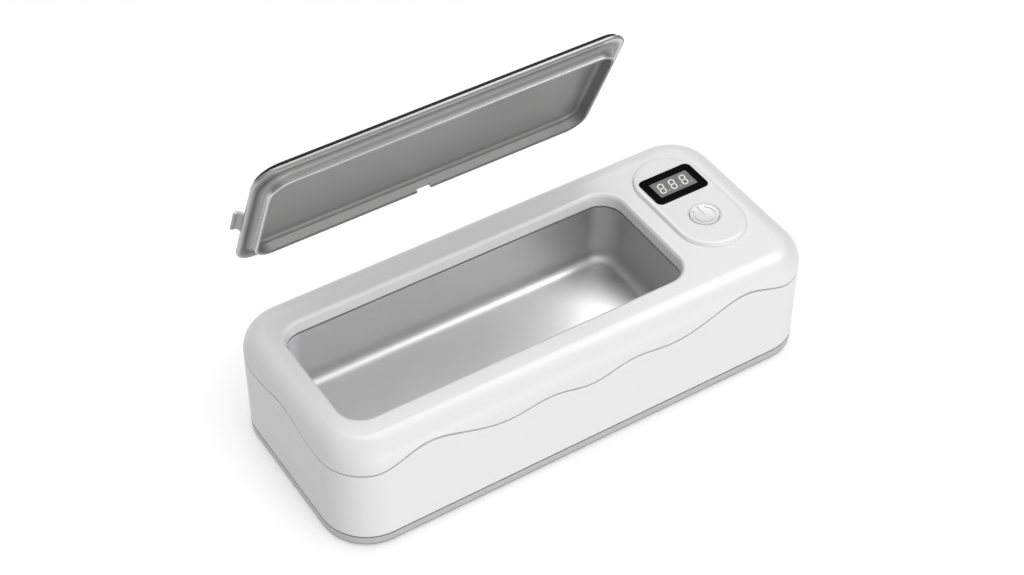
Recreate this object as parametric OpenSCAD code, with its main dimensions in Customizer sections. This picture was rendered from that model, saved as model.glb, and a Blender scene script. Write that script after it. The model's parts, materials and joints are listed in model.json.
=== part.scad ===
// Table-top ultrasonic cleaner with a loose tray lid.
// Millimetres. Origin in the middle of the base's underside, X along the length,
// the front faces -Y and Z points up. The lid is drawn raised and tilted above the tank.

/* [Body] */
// Length of the body
body_l = 205; // [195:1:215]
// Width of the body, front to back
body_w = 88; // [84:1:96]
// Height of the deck above the base's underside
body_h = 47.4; // [47:0.2:50]
// Radius of the four upright corners
corner_r = 18.5; // [18.5:0.5:20]
// Radius of the rounded edge between walls and deck
edge_r = 9.2; // [8:0.2:9.2]
// Thickness of the plastic walls
wall = 2.2; // [2:0.1:2.6]

/* [Base] */
// Height of the rubber feet below the base
foot_h = 0.8; // [0.6:0.1:1.2]
// Diameter of a rubber foot
foot_d = 10; // [8:0.5:12]
// Height of the visible base band
band_h = 4.6; // [4:0.2:5]
// Thickness of the base floor
floor_t = 2; // [1.6:0.2:2.4]

/* [Parting line] */
// Height of the wave in the middle of the long sides
wave_mid = 32.9; // [32:0.1:36]
// Height of the low crests beside the middle
wave_low_crest = 36.2; // [35:0.1:38]
// Height of the dips between the crests
wave_dip = 34.4; // [33:0.1:36]
// Height of the high crests
wave_high_crest = 41.5; // [40:0.1:43]
// Height at the four upright corners
wave_corner = 36.6; // [35:0.1:38]
// Height of the crest on the short sides
wave_end_crest = 39.7; // [38:0.1:42]
// Width of the visible gap between the two shells
wave_gap = 0.8; // [0.4:0.1:0.9]

/* [Tank] */
// Length of the tank opening
tank_l = 145; // [140:1:146]
// Width of the tank opening
tank_w = 54.6; // [54:0.2:56]
// Corner radius of the tank opening
tank_r = 9.5; // [9:0.5:10]
// Middle of the tank along the body
tank_x = -17.5; // [-18:0.5:-17]
// Depth of the tank below the deck
tank_depth = 33; // [30:0.5:34]
// Thickness of the steel sheet
sheet_t = 0.8; // [0.6:0.1:1]
// Diameter of the piezo disc
piezo_d = 50; // [40:1:50]

/* [Controls] */
// Middle of the control panel along the body
panel_x = 76.7; // [76:0.1:77]
// Middle of the control panel across the body
panel_y = 4.4; // [4:0.1:5]
// Width of the control panel
panel_w = 28.9; // [28:0.1:30]
// Length of the control panel, front to back
panel_l = 54.7; // [53:0.1:55]
// Height of the panel above the deck
panel_rise = 1.4; // [1.2:0.1:1.6]
// Width of the display frame
display_w = 24; // [23:0.1:25]
// Depth of the display frame, front to back
display_l = 15.6; // [15:0.1:16]
// Middle of the display across the body
display_y = 15; // [15:0.1:16]
// Width of the display window
window_w = 17.3; // [17:0.1:18]
// Depth of the display window
window_l = 8.7; // [8:0.1:9]
// Diameter of the power button
button_d = 11.2; // [11:0.1:12]
// Middle of the power button across the body
button_y = -5.2; // [-6:0.1:-4]
// Travel of the power button
button_travel = 0.6; // [0.4:0.1:0.7]

/* [Lid] */
// Length of the lid
lid_l = 152; // [150:0.5:154]
// Width of the lid
lid_w = 64.6; // [64:0.2:68]
// Corner radius of the lid
lid_r = 9; // [8.6:0.2:11]
// Length of the skirt that drops into the tank
skirt_l = 142; // [140:0.2:143]
// Width of the skirt
skirt_w = 53.2; // [52:0.2:53.4]
// Corner radius of the skirt
skirt_r = 8; // [7:0.5:8.5]
// Height of the skirt
skirt_h = 3.6; // [3.2:0.1:4.2]
// Angle by which the lid is raised from the tank
lid_angle = 66.5; // [0:0.5:80]
// Line that the lid swings about, behind the body
swing_y = 53.6; // [50:0.1:58]
// Height of that line
swing_z = 42.9; // [41:0.1:46]

/* [Hidden] */
$fn = 64;

// Small distances that many pieces share
eps = 0.01;
slip = 0.2;
press = 0.05;

// Tongues that line up the shells
tongue = 1.2;
tongue_rise = 2;

// Levels of the body
band_top = band_h;
floor_z = floor_t;
deck_z = body_h;
ceiling_z = deck_z - wall;
straight_x = body_l / 2 - corner_r;
straight_y = body_w / 2 - corner_r;

// Levels of the tank and of what holds it
lip_h = 5.5;
lip_t = 2;
lip_foot = 4.2;
lip_foot_t = 1.6;
lip_round = 1.5;
gasket_t = 1;
rim_out = 5;
sheet_gap = 0.2;
clamp_t = 2;
clamp_in = 1.6;
clamp_out = 5.6;
lip_z = deck_z - lip_h;
rim_z = lip_z - gasket_t;
clamp_z = rim_z - sheet_t;
tank_floor_z = deck_z - tank_depth;
tank_under_z = tank_floor_z - sheet_t;
tank_fillet = 4.2;
bond_t = 0.3;
bond_d = piezo_d - 4;
piezo_t = 2.5;
piezo_z = tank_under_z - bond_t - piezo_t;

// Feet under the base
foot_x = 78;
foot_y = 30;
foot_sink = 0.6;

// Posts and screws
post_r = 3.5;
post_x = 91.7;
post_y = 33.2;
post_bore_h = 20;
boss_r = post_r + 0.8;
boss_h = 3.2;
post_z = floor_z + boss_h;
screw_r = 1.45;
screw_top = 20;
screw_head_r = 2.7;
screw_head_h = 1.8;
head_pit_r = 3;
head_pit_h = 2.4;
clamp_post_r = 3;
clamp_post_y = 36;
clamp_post_pitch = 32;
control_post_r = 2.5;
standoff_r = 3;
small_screw_r = 1.05;
small_head_r = 2.2;
small_head_h = 1.6;
small_bite = 3.5;

// Circuit boards and what stands on them
board_t = 1.6;
driver_x = 79;
driver_y = -1.5;
driver_w = 36;
driver_l = 55;
driver_z = 9;
driver_top = driver_z + board_t;
driver_hole_x = 14.5;
driver_hole_y = 24;
control_x = 77;
control_y = 5.75;
control_w = 27;
control_l = 45;
control_z = 36.6;
control_top = control_z + board_t;
control_hole_x = 10.5;
control_hole_y = 19.5;
switch_w = 6.2;
switch_h = 3.6;
switch_bore = 1.8;
plunger_r = 1.7;
plunger_sunk = 1.1;
plunger_z = control_top + switch_h - plunger_sunk;
plunger_top = control_top + switch_h + 1.5;
switch_bore_h = plunger_sunk + button_travel + 0.1;
connector_w = 6;
connector_l = 8;
connector_h = 6;
connector_wall = 1;
connector_spots = [[66.5, -18.5], [65.3, 15.5], [65.5, -8]];

// Transformer
core_x = 82.5;
core_y = -12;
core_w = 24;
core_d = 10;
core_h = 20;
core_leg = 7;
core_yoke = 3.5;
winding_w = 16.4;
winding_l = 19;

// Heat sink and its transistor
sink_x = 91.5;
sink_y = 11;
sink_l = 18;
sink_h = 22;
sink_plate = 2;
fin_l = 4.5;
fin_t = 1.4;

// Levels of the controls
panel_sink = 1.4;
panel_round = (panel_rise + panel_sink) / 2;
panel_z = deck_z - panel_sink;
panel_top = deck_z + panel_rise;
display_top = panel_top + 0.2;
display_r = 2.5;
display_round = 0.4;
window_r = 0.5;
window_top = display_top - 0.15;
module_top = panel_z - 0.1;
button_gap = 0.2;
button_top = panel_top - 0.15;
button_dish = 0.35;
button_chamfer = 0.8;
button_round = 0.3;
sign_r = 4.2;
sign_w = 0.7;
sign_gap = 70;
sign_depth = 0.7;
digit_pitch = 5.1;
digit_w = 2.75;
digit_h = 5.5;
digit_stroke = 0.56;
digit_slant = 10;

// Supply socket
inlet_x = 78;
inlet_z = 16;
inlet_r = 4;
inlet_bore_r = 2.8;
inlet_depth = 10;
inlet_face_y = body_w / 2 + 0.4;
wall_in_y = body_w / 2 - wall;
inlet_body = 11;

// Routes of the inner wires
lead_r = 0.8;
piezo_leads = [
    [[-2, -6, piezo_z - lead_r], [4, -8, piezo_z - 2], [20, -14, 7], [38, -20, 6], [54, -21, 8],
        [59.5, -20, 15], [62.5, -20, 19], [66, -20, 19], [66.8, -20, 14.5]],
    [[-2, -2, piezo_z - lead_r], [4, -4, piezo_z - 2], [20, -10, 7], [38, -16, 6], [54, -17, 8],
        [59.5, -17, 15], [62.5, -17, 19], [66, -17, 19], [66.8, -17, 14.5]]];
socket_leads = [
    [[75, wall_in_y - inlet_body, 14], [75, 29.5, 14], [75, 28, 14], [73, 25, 17], [69, 20, 20],
        [66.6, 17, 19], [66.3, 15.5, 14.5]],
    [[75, wall_in_y - inlet_body, 18], [75, 29.5, 18], [75, 28, 18], [71, 25, 21], [66, 20, 23],
        [64.4, 17, 20], [64.2, 15.5, 14.5]]];

// Levels of the lid when it sits on the deck
lid_seat = deck_z + slip;
lid_rim_t = 1.4;
lid_seal_t = 1;
lid_panel_z = 1.9;
lid_panel_t = 1.3;
lid_top_t = 1.8;
lid_end_in = 1.4;
lid_crown = lid_panel_z + lid_panel_t + lid_top_t;
seal_in = 1.6;
skirt_t = 1.3;

// Wave of the parting line: distance from the middle of a side, and height there
front_run = straight_x + corner_r * PI / 4;
end_run = straight_y + corner_r * PI / 4;
front_knots = [[0, wave_mid], [18.5, wave_low_crest], [35.5, wave_dip],
    [68, wave_high_crest], [91, wave_corner], [front_run, wave_corner]];
end_knots = [[0, wave_end_crest], [20.5, wave_corner], [end_run, wave_corner]];
wave_steps = 44;

// Eases from a to b as t goes from 0 to 1
function ease(a, b, t) = a + (b - a) * (1 - cos(180 * min(1, t))) / 2;

// Height of the wave at distance s along a side
function wave(s, knots, i = 0) =
    (i < len(knots) - 2 && s >= knots[i + 1][0])
        ? wave(s, knots, i + 1)
        : ease(knots[i][1], knots[i + 1][1], (s - knots[i][0]) / (knots[i + 1][0] - knots[i][0]));

// Distance along the wall of a point that is p from the middle of a side
function along(p, straight) =
    p <= straight ? p : straight + corner_r * asin((p - straight) / corner_r) * PI / 180;

// Points of a smooth curve through a route
function route_point(p, i, t) =
    let (a = p[max(i - 1, 0)], b = p[i], c = p[i + 1], d = p[min(i + 2, len(p) - 1)])
    0.5 * (2 * b + (c - a) * t + (2 * a - 5 * b + 4 * c - d) * t * t
        + (3 * b - a - 3 * c + d) * t * t * t);
function smooth_route(p, n = 4) =
    [for (i = [0 : len(p) - 2], k = [0 : n - 1]) route_point(p, i, k / n), p[len(p) - 1]];
function unit(v) = v / norm(v);

// Flat outline of a rectangle with round corners
module round_rect(l, w, r) {
    square([l - 2 * r, w], center = true);
    square([l, w - 2 * r], center = true);
    for (sx = [-1, 1], sy = [-1, 1])
        translate([sx * (l / 2 - r), sy * (w / 2 - r)]) circle(r);
}

// Carries a section round a rectangle with round corners.
// The section lies in x outwards from a corner's middle, so the outline is at x = r, and y upwards.
module sweep(l, w, r) {
    for (q = [0 : 3]) {
        sx = (q == 0 || q == 3) ? 1 : -1;
        sy = q < 2 ? 1 : -1;
        translate([sx * (l / 2 - r), sy * (w / 2 - r), 0])
            rotate([0, 0, 90 * q]) rotate_extrude(angle = 90) children();
    }
    for (a = [0, 180]) {
        if (w - 2 * r > eps) rotate([0, 0, a]) translate([l / 2 - r, 0, 0])
            rotate([90, 0, 0]) linear_extrude(w - 2 * r, center = true) children();
        if (l - 2 * r > eps) rotate([0, 0, a + 90]) translate([w / 2 - r, 0, 0])
            rotate([90, 0, 0]) linear_extrude(l - 2 * r, center = true) children();
    }
}

// Section that fills from the corner's middle to r, with a round upper outer corner
module eased_section(r, low, high, e) {
    translate([0, low]) square([r, high - low - e]);
    translate([0, low]) square([r - e, high - low]);
    translate([r - e, high - e]) circle(e);
}

// Solid block with round upright corners and a round upper edge
module eased_block(l, w, r, low, high, e) {
    sweep(l, w, r) eased_section(r, low, high, e);
    if (min(l, w) - 2 * r > eps)
        translate([r - l / 2, r - w / 2, low]) cube([l - 2 * r, w - 2 * r, high - low]);
}

// Everything under the wave, raised by lift
module below_wave(lift) {
    reach_x = straight_x + corner_r * sin(45);
    reach_y = straight_y + corner_r * sin(45);
    front = [for (i = [-wave_steps : wave_steps]) let (x = reach_x * i / wave_steps)
        [x, wave(along(abs(x), straight_x), front_knots) + lift]];
    side = [for (i = [-wave_steps / 2 : wave_steps / 2]) let (y = reach_y * 2 * i / wave_steps)
        [y, wave(along(abs(y), straight_y), end_knots) + lift]];
    for (a = [0, 180]) {
        rotate([0, 0, a]) translate([0, -straight_y, 0]) rotate([90, 0, 0])
            linear_extrude(corner_r + 1)
                polygon(concat([[-reach_x, 0]], front, [[reach_x, 0]]));
        rotate([0, 0, a + 90]) translate([0, -straight_x, 0]) rotate([90, 0, 0])
            linear_extrude(corner_r + 1)
                polygon(concat([[-reach_y, 0]], side, [[reach_y, 0]]));
    }
}

// Puts children at the four corners of a rectangle
module at_corners(x, y) {
    for (sx = [-1, 1], sy = [-1, 1]) translate([sx * x, sy * y, 0]) children();
}

// Pan-head screw with its head under level z and its shank up to top
module screw(z, top, r, head_r, head_h) {
    slot_w = head_r / 3.5;
    difference() {
        union() {
            translate([0, 0, z - head_h]) cylinder(r = head_r, h = head_h);
            translate([0, 0, z - eps]) cylinder(r = r, h = top - z);
        }
        for (a = [0, 90]) translate([0, 0, z - head_h]) rotate(a)
            cube([1.2 * head_r, slot_w, 1.1 * head_h], center = true);
    }
}

// Round wire along a route
module wire(points, r, sides = 8) {
    p = smooth_route(points);
    n = len(p);
    ring = [for (i = [0 : n - 1])
        let (t = unit(p[min(i + 1, n - 1)] - p[max(i - 1, 0)]),
             side = unit(cross(t, abs(t.z) > 0.9 ? [0, 1, 0] : [0, 0, 1])),
             up = cross(side, t))
        for (k = [0 : sides - 1])
            p[i] + r * (cos(360 * k / sides) * side + sin(360 * k / sides) * up)];
    walls = [for (i = [0 : n - 2], k = [0 : sides - 1])
        let (a = i * sides + k, b = i * sides + (k + 1) % sides)
        [a, a + sides, b + sides, b]];
    polyhedron(ring, concat([[for (k = [0 : sides - 1]) k]], walls,
        [[for (k = [sides - 1 : -1 : 0]) (n - 1) * sides + k]]));
}

// Outline of the control panel
module panel_outline(grow) {
    run = panel_l - panel_w;
    translate([panel_x, panel_y]) {
        square([panel_w + 2 * grow, run], center = true);
        for (s = [-1, 1]) translate([0, s * run / 2]) circle(panel_w / 2 + grow);
    }
}

// Hole of the display through deck and panel
module display_hole(grow) {
    translate([panel_x, display_y])
        round_rect(display_w + 2 * grow, display_l + 2 * grow, display_r + grow);
}

// Solid of the housing's outer form, set in from its surface
module housing_form(inset, low) {
    eased_block(body_l - 2 * inset, body_w - 2 * inset, corner_r - inset,
        low, deck_z - inset, edge_r - inset);
}

module upper_shell() {
    difference() {
        housing_form(0, band_top);
        housing_form(wall, band_top - 1);
        below_wave(wave_gap / 2);
    }
}

module tank_lip() {
    translate([tank_x, 0, 0]) sweep(tank_l, tank_w, tank_r) {
        translate([tank_r, lip_z]) square([lip_t, lip_h - wall / 2]);
        translate([tank_r, lip_z]) square([lip_foot, lip_foot_t]);
    }
}

module lip_rounding() {
    translate([tank_x, 0, 0]) sweep(tank_l, tank_w, tank_r) difference() {
        translate([tank_r - 1, deck_z - lip_round]) square([1 + lip_round, lip_round + 1]);
        translate([tank_r + lip_round, deck_z - lip_round]) circle(lip_round);
    }
}

module clamp_posts() {
    for (i = [-1 : 1], s = [-1, 1])
        translate([tank_x + i * clamp_post_pitch, s * clamp_post_y, 0]) children();
}

module control_posts() {
    translate([control_x, control_y, 0]) at_corners(control_hole_x, control_hole_y) children();
}

module upper_housing() {
    color("whitesmoke") difference() {
        union() {
            upper_shell();
            tank_lip();
            at_corners(post_x, post_y) translate([0, 0, post_z])
                cylinder(r = post_r, h = ceiling_z - 1 - post_z);
            clamp_posts() translate([0, 0, clamp_z])
                cylinder(r = clamp_post_r, h = ceiling_z + 0.5 - clamp_z);
            control_posts() translate([0, 0, control_top])
                cylinder(r = control_post_r, h = ceiling_z + 0.5 - control_top);
        }
        translate([tank_x, 0, lip_z - 1]) linear_extrude(lip_h + 2) round_rect(tank_l, tank_w, tank_r);
        lip_rounding();
        translate([0, 0, panel_z]) linear_extrude(5) panel_outline(press);
        translate([0, 0, ceiling_z - 1]) linear_extrude(wall + 2) display_hole(slip);
        translate([panel_x, button_y, ceiling_z - 1])
            cylinder(d = button_d + 2 * button_gap, h = wall + 2);
        at_corners(post_x, post_y) translate([0, 0, post_z - 1])
            cylinder(r = screw_r + press, h = post_bore_h);
        clamp_posts() translate([0, 0, clamp_z - 1])
            cylinder(r = small_screw_r + press, h = small_bite + 1.5);
        control_posts() translate([0, 0, control_top - 1])
            cylinder(r = small_screw_r + press, h = small_bite + 1.5);
    }
}

// Wall of the lower shell between two depths, from level low up to the wave raised by lift
module lower_wall(outer, inner, low, lift) {
    difference() {
        intersection() {
            housing_form(outer, low);
            below_wave(lift);
        }
        housing_form(inner, low - 1);
    }
}

module lower_housing() {
    tongue_z = wave_mid - 6;
    color("white") difference() {
        union() {
            lower_wall(0, wall, band_top, -wave_gap / 2);
            lower_wall(wall / 2, wall + tongue, tongue_z, -wave_gap / 2);
            lower_wall(wall + slip, wall + tongue, tongue_z, tongue_rise);
        }
        translate([inlet_x, body_w / 2 + 1, inlet_z]) rotate([90, 0, 0])
            cylinder(r = inlet_r + slip, h = 8);
    }
}

module vent_slots() {
    slot_w = 2.4;
    slot_l = 20;
    for (bank = [-62, driver_x], i = [-3 : 3]) translate([bank + i * 5, 0, -1])
        linear_extrude(floor_t + 2) {
            square([slot_w, slot_l - slot_w], center = true);
            for (s = [-1, 1]) translate([0, s * (slot_l - slot_w) / 2]) circle(d = slot_w);
        }
}

module driver_posts() {
    translate([driver_x, driver_y, 0]) at_corners(driver_hole_x, driver_hole_y) children();
}

module base_plate() {
    rim_round = 0.8;
    groove_h = 0.7;
    groove_in = 0.8;
    color("silver") difference() {
        union() {
            mirror([0, 0, 1]) eased_block(body_l, body_w, corner_r, -floor_z, 0, rim_round);
            sweep(body_l, body_w, corner_r) translate([corner_r - wall, floor_z - 0.5]) {
                square([wall - groove_in, band_h - floor_t + 0.5]);
                square([wall, band_h - floor_t + 0.5 - groove_h]);
            }
            sweep(body_l, body_w, corner_r)
                translate([corner_r - wall - tongue - slip, floor_z - 0.5])
                    square([tongue, band_h - floor_t + 0.5 + tongue_rise]);
            at_corners(post_x, post_y) translate([0, 0, floor_z - 0.5])
                cylinder(r = boss_r, h = boss_h + 0.5);
            driver_posts() translate([0, 0, floor_z - 0.5])
                cylinder(r = standoff_r, h = driver_z - floor_z + 0.5);
        }
        at_corners(post_x, post_y) translate([0, 0, -1]) {
            cylinder(r = screw_r + 0.3, h = post_z + 2);
            cylinder(r = head_pit_r, h = head_pit_h + 1);
        }
        at_corners(foot_x, foot_y) translate([0, 0, -1]) cylinder(d = foot_d, h = 1 + foot_sink);
        driver_posts() translate([0, 0, floor_z + 0.8])
            cylinder(r = small_screw_r + press, h = driver_z);
        vent_slots();
    }
}

module foot_pads() {
    color("dimgray") at_corners(foot_x, foot_y) translate([0, 0, -foot_h]) rotate_extrude() {
        square([foot_d / 2 - 0.5, foot_h + foot_sink]);
        translate([0, 0.5]) square([foot_d / 2 - press, foot_h + foot_sink - 0.5]);
        translate([foot_d / 2 - 0.55, 0.5]) circle(0.5);
    }
}

module base_screws() {
    color("gray") at_corners(post_x, post_y)
        screw(head_pit_h, screw_top, screw_r, screw_head_r, screw_head_h);
}

module tank_section() {
    difference() {
        tank_corner(tank_r + sheet_gap + sheet_t, tank_under_z, rim_z, tank_fillet + sheet_t);
        tank_corner(tank_r + sheet_gap, tank_floor_z, rim_z + 1, tank_fillet);
    }
    translate([tank_r + sheet_gap, clamp_z]) square([rim_out - sheet_gap, sheet_t]);
}

// Section of a basin with a round lower outer corner
module tank_corner(r, low, high, e) {
    translate([0, low + e]) square([r, high - low - e]);
    translate([0, low]) square([r - e, high - low]);
    translate([r - e, low + e]) circle(e);
}

module tank() {
    color("lightsteelblue") translate([tank_x, 0, 0]) {
        sweep(tank_l, tank_w, tank_r) tank_section();
        translate([tank_r - tank_l / 2, tank_r - tank_w / 2, tank_under_z])
            cube([tank_l - 2 * tank_r, tank_w - 2 * tank_r, sheet_t]);
    }
}

module tank_gasket() {
    color("dimgray") translate([tank_x, 0, 0]) sweep(tank_l, tank_w, tank_r)
        translate([tank_r + 0.5, rim_z]) square([lip_foot - 1, gasket_t]);
}

module tank_clamp() {
    ear = 8;
    color("gray") difference() {
        union() {
            translate([tank_x, 0, 0]) sweep(tank_l, tank_w, tank_r)
                translate([tank_r + clamp_in, clamp_z - clamp_t])
                    square([clamp_out - clamp_in, clamp_t]);
            clamp_posts() translate([-ear / 2, -ear / 2, clamp_z - clamp_t])
                cube([ear, ear, clamp_t]);
        }
        clamp_posts() translate([0, 0, clamp_z - clamp_t - 1])
            cylinder(r = small_screw_r + slip, h = clamp_t + 2);
    }
}

module clamp_screws() {
    color("gray") clamp_posts()
        screw(clamp_z - clamp_t, clamp_z + small_bite, small_screw_r, small_head_r, small_head_h);
}

module transducer_bond() {
    color("khaki") translate([tank_x, 0, tank_under_z - bond_t]) cylinder(d = bond_d, h = bond_t);
}

module piezo_disc() {
    color("gainsboro") translate([tank_x, 0, piezo_z]) rotate_extrude() {
        square([piezo_d / 2 - 0.4, piezo_t]);
        translate([0, 0.4]) square([piezo_d / 2, piezo_t - 0.8]);
    }
}

module transducer_leads() {
    color("firebrick") for (route = piezo_leads) wire(route, lead_r);
}

module inlet_leads() {
    color("black") for (route = socket_leads) wire(route, lead_r);
}

module circuit_board(x, y, w, l, z, hole_x, hole_y) {
    translate([x, y, z]) difference() {
        linear_extrude(board_t) round_rect(w, l, 1.5);
        at_corners(hole_x, hole_y) translate([0, 0, -1])
            cylinder(r = small_screw_r + slip, h = board_t + 2);
    }
}

module driver_board() {
    color("seagreen") circuit_board(driver_x, driver_y, driver_w, driver_l, driver_z,
        driver_hole_x, driver_hole_y);
}

module board_screws() {
    color("gray") driver_posts() translate([0, 0, driver_top]) mirror([0, 0, 1])
        screw(0, board_t + small_bite, small_screw_r, small_head_r, small_head_h);
}

// Ferrite frame with a middle leg, which carries the winding
module transformer_core() {
    window = (core_w - core_leg - 2 * core_yoke) / 2;
    color("dimgray") translate([core_x, core_y, driver_top]) difference() {
        translate([-core_w / 2, -core_d / 2, 0]) cube([core_w, core_d, core_h]);
        for (s = [-1, 1]) translate([s * (core_leg + window) / 2, 0, core_h / 2])
            cube([window, core_d + 2, core_h - 2 * core_yoke], center = true);
    }
}

module transformer_winding() {
    color("goldenrod") translate([core_x, core_y, driver_top + core_yoke + slip])
        linear_extrude(core_h - 2 * core_yoke - 2 * slip) difference() {
            round_rect(winding_w, winding_l, 4);
            square([core_leg + 2 * slip, core_d + 2 * slip], center = true);
        }
}

module filter_capacitors() {
    can_x = 80.8;
    can_r = 5;
    can_h = 16;
    color("midnightblue") for (y = [6, 17.5]) translate([can_x, y, driver_top])
        rotate_extrude() difference() {
            square([can_r, can_h]);
            translate([can_r + 0.2, 2.2]) circle(0.7);
            translate([-eps, can_h - 0.3]) square([can_r - 1, 1]);
        }
}

module film_capacitor() {
    film = [6.5, 16, 12];
    color("orange") translate([72, 6, driver_top]) linear_extrude(film.z) round_rect(film.x, film.y, 1.5);
}

// Upright fins on a plate, with the transistor on its face
module heat_sink() {
    fins = 5;
    color("silver") translate([sink_x, sink_y, driver_top]) linear_extrude(sink_h) {
        translate([-sink_plate, -sink_l / 2]) square([sink_plate + slip, sink_l]);
        for (i = [0 : fins - 1])
            translate([0, -sink_l / 2 + i * (sink_l - fin_t) / (fins - 1)]) square([fin_l, fin_t]);
    }
}

module power_transistor() {
    tab = [1.3, 10, 15];
    case = [3.4, 10, 8.5];
    leg = [0.6, 0.8, 6.5];
    leg_pitch = 2.5;
    color("black") translate([sink_x - sink_plate, sink_y, driver_top]) {
        translate([-tab.x, -tab.y / 2, leg.z - 0.5]) cube(tab);
        translate([-case.x, -case.y / 2, leg.z - 0.5]) cube(case);
        for (i = [-1 : 1]) translate([-2.2, i * leg_pitch - leg.y / 2, 0]) cube(leg);
    }
}

module board_connectors() {
    inner = [connector_w - 2 * connector_wall, connector_l - 2 * connector_wall, connector_h];
    color("ivory") for (p = connector_spots) translate([p.x, p.y, driver_top]) difference() {
        translate([-connector_w / 2, -connector_l / 2, 0]) cube([connector_w, connector_l, connector_h]);
        translate([-inner.x / 2, -inner.y / 2, connector_wall + 0.5]) cube(inner);
    }
}

module ribbon_cable() {
    ribbon_w = 5.6;
    ribbon_t = 0.8;
    steps = 14;
    spot = connector_spots[2];
    low = driver_top + connector_wall + 0.6;
    high = control_z;
    bow = [for (i = [0 : steps]) let (t = i / steps) [spot.x + 1.6 * sin(180 * t), low + (high - low) * t]];
    color("lightgray") translate([0, spot.y + ribbon_w / 2, 0]) rotate([90, 0, 0]) linear_extrude(ribbon_w)
        polygon(concat(bow, [for (i = [steps : -1 : 0]) bow[i] + [ribbon_t, 0]]));
}

module control_panel() {
    hole_r = button_d / 2 + button_gap;
    color("white") difference() {
        translate([panel_x, panel_y, 0])
            eased_block(panel_w, panel_l, panel_w / 2, panel_z, panel_top, panel_round);
        translate([0, 0, panel_z - 1]) linear_extrude(5) display_hole(press);
        translate([panel_x, button_y, panel_z - 1]) cylinder(r = hole_r, h = 5);
        translate([panel_x, button_y, panel_top - button_chamfer])
            cylinder(r1 = hole_r, r2 = hole_r + 2 * button_chamfer, h = 2 * button_chamfer);
    }
}

module display_bezel() {
    color("black") translate([panel_x, display_y, 0]) difference() {
        eased_block(display_w, display_l, display_r, module_top, display_top, display_round);
        translate([0, 0, module_top - 1]) linear_extrude(5) round_rect(window_w, window_l, window_r);
    }
}

module display_window() {
    color("gray") translate([panel_x, display_y, module_top]) linear_extrude(window_top - module_top)
        round_rect(window_w - 2 * press, window_l - 2 * press, window_r - press);
}

// One segment of a digit: a bar with pointed ends, along x
module segment(l) {
    h = digit_stroke / 2;
    polygon([[-l / 2, 0], [h - l / 2, h], [l / 2 - h, h], [l / 2, 0], [l / 2 - h, -h], [h - l / 2, -h]]);
}

// Three figures of seven segments, each with its point
module digit_segments() {
    lean = tan(digit_slant);
    bar_w = digit_w - digit_stroke - 0.2;
    bar_h = (digit_h - digit_stroke) / 2 - 0.2;
    color("white") translate([panel_x, display_y, window_top]) linear_extrude(0.1)
        for (i = [-1 : 1]) translate([i * digit_pitch - 0.3, 0]) {
            for (k = [-1 : 1]) let (y = k * (digit_h - digit_stroke) / 2)
                translate([y * lean, y]) segment(bar_w);
            for (sx = [-1, 1], sy = [-1, 1]) let (y = sy * (digit_h - digit_stroke) / 4)
                translate([sx * (digit_w - digit_stroke) / 2 + y * lean, y])
                    rotate(90 - digit_slant) segment(bar_h);
            translate([digit_w / 2 + 0.7, -digit_h / 2 + 0.5]) circle(0.32);
        }
}

module display_module() {
    color("dimgray") translate([panel_x, display_y, control_top])
        linear_extrude(module_top - control_top) round_rect(display_w - 1, display_l - 1, 1);
}

module control_board() {
    color("seagreen") circuit_board(control_x, control_y, control_w, control_l, control_z,
        control_hole_x, control_hole_y);
}

module control_screws() {
    color("gray") control_posts()
        screw(control_z, control_top + small_bite, small_screw_r, small_head_r, small_head_h);
}

module push_switch() {
    color("black") translate([panel_x, button_y, control_top]) difference() {
        translate([-switch_w / 2, -switch_w / 2, 0]) cube([switch_w, switch_w, switch_h]);
        translate([0, 0, switch_h - switch_bore_h]) cylinder(r = switch_bore, h = switch_bore_h + 1);
    }
}

module switch_plunger() {
    color("dimgray") translate([panel_x, button_y, plunger_z])
        cylinder(r = plunger_r, h = plunger_top - plunger_z);
}

// Cutter of the power sign: an open ring with a stroke in its gap
module power_sign() {
    rotate(90 + sign_gap / 2) rotate_extrude(angle = 360 - sign_gap)
        translate([sign_r - sign_w / 2, 0]) square([sign_w, 2]);
    translate([-sign_w / 2, 0, 0]) cube([sign_w, button_d / 2 - 0.5, 2]);
}

module power_button() {
    r = button_d / 2;
    flange_top = ceiling_z - 0.3;
    flange_t = 1;
    dish_r = r * r / (2 * button_dish);
    color("white") translate([panel_x, button_y, 0]) difference() {
        rotate_extrude() {
            eased_section(r, flange_top - flange_t, button_top, button_round);
            translate([0, flange_top - flange_t]) square([r + 1.1, flange_t]);
            translate([0, plunger_top]) square([2.5, flange_top - plunger_top]);
        }
        translate([0, 0, button_top + dish_r - button_dish]) sphere(dish_r, $fn = 128);
        translate([0, 0, button_top - sign_depth]) power_sign();
    }
}

module power_inlet() {
    color("black") difference() {
        union() {
            translate([inlet_x - inlet_body / 2, wall_in_y - inlet_body, inlet_z - inlet_body / 2])
                cube(inlet_body);
            translate([inlet_x, inlet_face_y, inlet_z]) rotate([90, 0, 0])
                cylinder(r = inlet_r, h = inlet_face_y - wall_in_y + 1);
        }
        translate([inlet_x, inlet_face_y + 1, inlet_z]) rotate([90, 0, 0])
            cylinder(r = inlet_bore_r, h = inlet_depth + 1);
    }
}

module inlet_pin() {
    pin_r = 1;
    pin_l = inlet_depth - 1.5;
    color("gold") translate([inlet_x, inlet_face_y - inlet_depth, inlet_z]) rotate([-90, 0, 0])
        rotate_extrude() {
            square([pin_r, pin_l]);
            translate([0, pin_l]) square([pin_r - 0.3, 0.4]);
        }
}

// Swings a lid piece from its seat to where it is held above the tank
module raised() {
    translate([0, swing_y, swing_z]) rotate([-lid_angle, 0, 0])
        translate([tank_x, -swing_y, lid_seat - swing_z]) children();
}

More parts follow.
